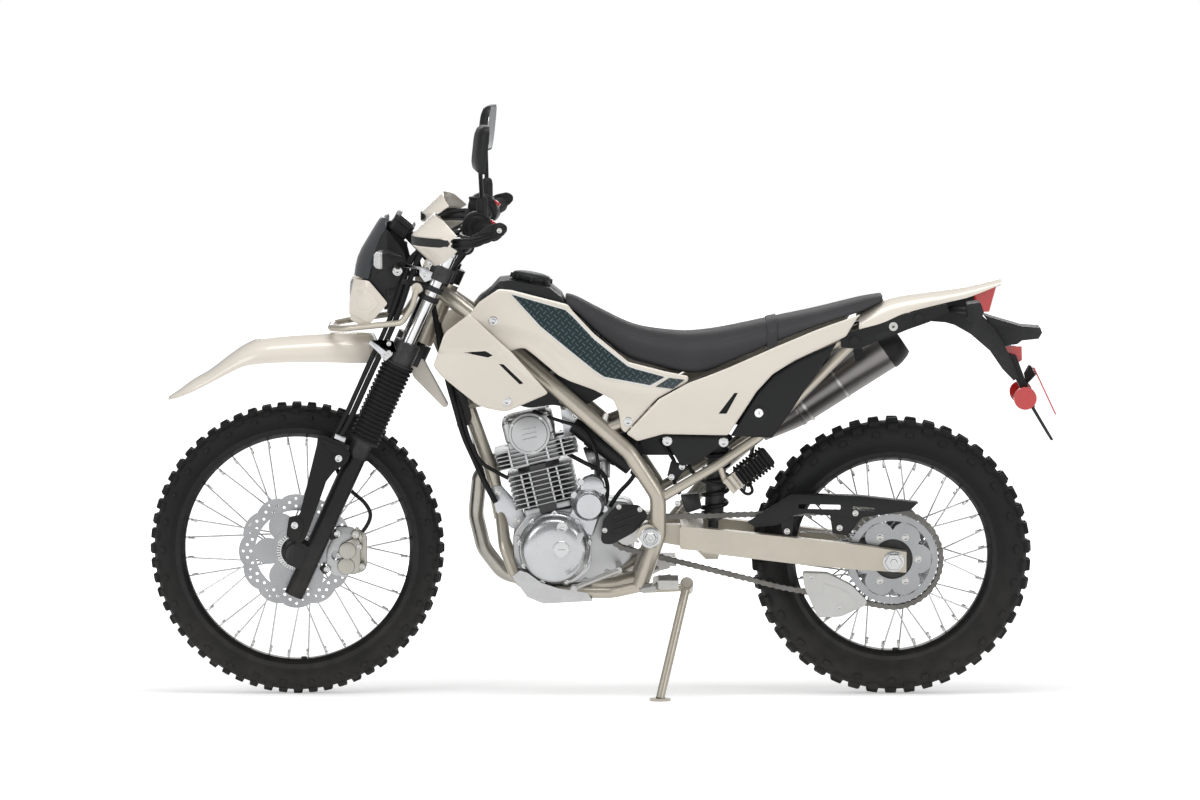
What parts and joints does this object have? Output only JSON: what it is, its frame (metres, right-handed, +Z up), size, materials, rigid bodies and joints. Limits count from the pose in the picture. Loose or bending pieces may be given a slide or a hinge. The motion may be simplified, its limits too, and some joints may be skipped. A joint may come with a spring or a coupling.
{
  "type": "dual sport motorcycle",
  "caption": "Dual sport motorcycle on its side stand, with spoked wheels that turn, a steered front fork, and a side stand that folds up.",
  "frame": {"origin": "centre of the footprint box, at floor level", "axes": "+X to the machine's rear, +Y to its right side, +Z up; the machine leans towards -Y"},
  "size_m": [2.0746, 0.8762, 1.3652],
  "materials": {
    "body_plastic": "glossy cream",
    "black_plastic": "fine grain black",
    "frame_paint": "champagne metallic",
    "black_paint": "satin black",
    "bright_alloy": "cast and brushed",
    "chrome": "polished",
    "steel": "ground steel",
    "tyre": "charcoal",
    "boot_rubber": "matt",
    "lens": "clear",
    "red_lens": "glossy red",
    "seat_cover": "grained dark grey cover"
  },
  "bodies": {
    "chassis": {"main_frame": "frame_paint", "subframe": "frame_paint", "swingarm": "frame_paint", "crankcase": "bright_alloy", "engine_side_covers": "bright_alloy", "cylinder": "bright_alloy", "cylinder_head": "bright_alloy", "air_box": "black_plastic", "exhaust_header": "steel", "silencer": "steel", "rear_shock": "steel", "chain": "steel", "chain_guard": "black_plastic", "fuel_tank": "black_plastic", "tank_covers": "body_plastic", "shrouds": "body_plastic", "side_covers": "body_plastic", "side_panels": "black_plastic", "seat": "seat_cover", "tail_cover": "body_plastic", "rear_fender": "black_plastic", "rack_nuts": "steel", "tail_lamp": "red_lens", "plate_and_reflectors": "red_lens", "skid_plate": "bright_alloy", "foot_controls": "steel"},
    "steering": {"fork_clamps": "black_paint", "fork_tubes": "chrome", "fork_sliders": "bright_alloy", "fork_covers": "boot_rubber", "handlebar": "black_paint", "controls": "black_plastic", "handguards": "body_plastic", "mirrors": "black_plastic", "headlight_lens": "lens", "headlight_cowl": "body_plastic", "lamp_bracket": "black_plastic", "meter": "black_plastic", "lamp_guard": "frame_paint", "front_fender": "body_plastic", "brake_caliper": "bright_alloy", "brake_hose": "boot_rubber"},
    "front_wheel": {"front_tyre": "tyre", "front_rim": "black_paint", "front_spokes": "steel", "front_hub": "black_paint", "front_disc": "steel"},
    "rear_wheel": {"rear_tyre": "tyre", "rear_rim": "black_paint", "rear_spokes": "steel", "rear_hub": "black_paint", "rear_sprocket": "steel", "rear_disc": "steel"},
    "side_stand": {"side_stand": "frame_paint"}
  },
  "joints": [
    {"name": "steering", "type": "hinge", "parent": "chassis", "child": "steering", "pos_m": [-0.41392, 0.02526, 0.81149], "axis": [0.4147, -0.0793, 0.9065], "range_deg": [-41, 41]},
    {"name": "front_wheel_spin", "type": "hinge", "parent": "steering", "child": "front_wheel", "pos_m": [-0.69925, 0.0668, 0.33671], "axis": [0, 0.9962, 0.0872], "continuous": true},
    {"name": "rear_wheel_spin", "type": "hinge", "parent": "chassis", "child": "rear_wheel", "pos_m": [0.66575, 0.06824, 0.32028], "axis": [0, 0.9962, 0.0872], "continuous": true},
    {"name": "side_stand_fold", "type": "hinge", "parent": "chassis", "child": "side_stand", "pos_m": [0.19425, -0.05587, 0.25873], "axis": [-0.033, -0.9476, 0.3178], "range_deg": [0, 102]}
  ]
}
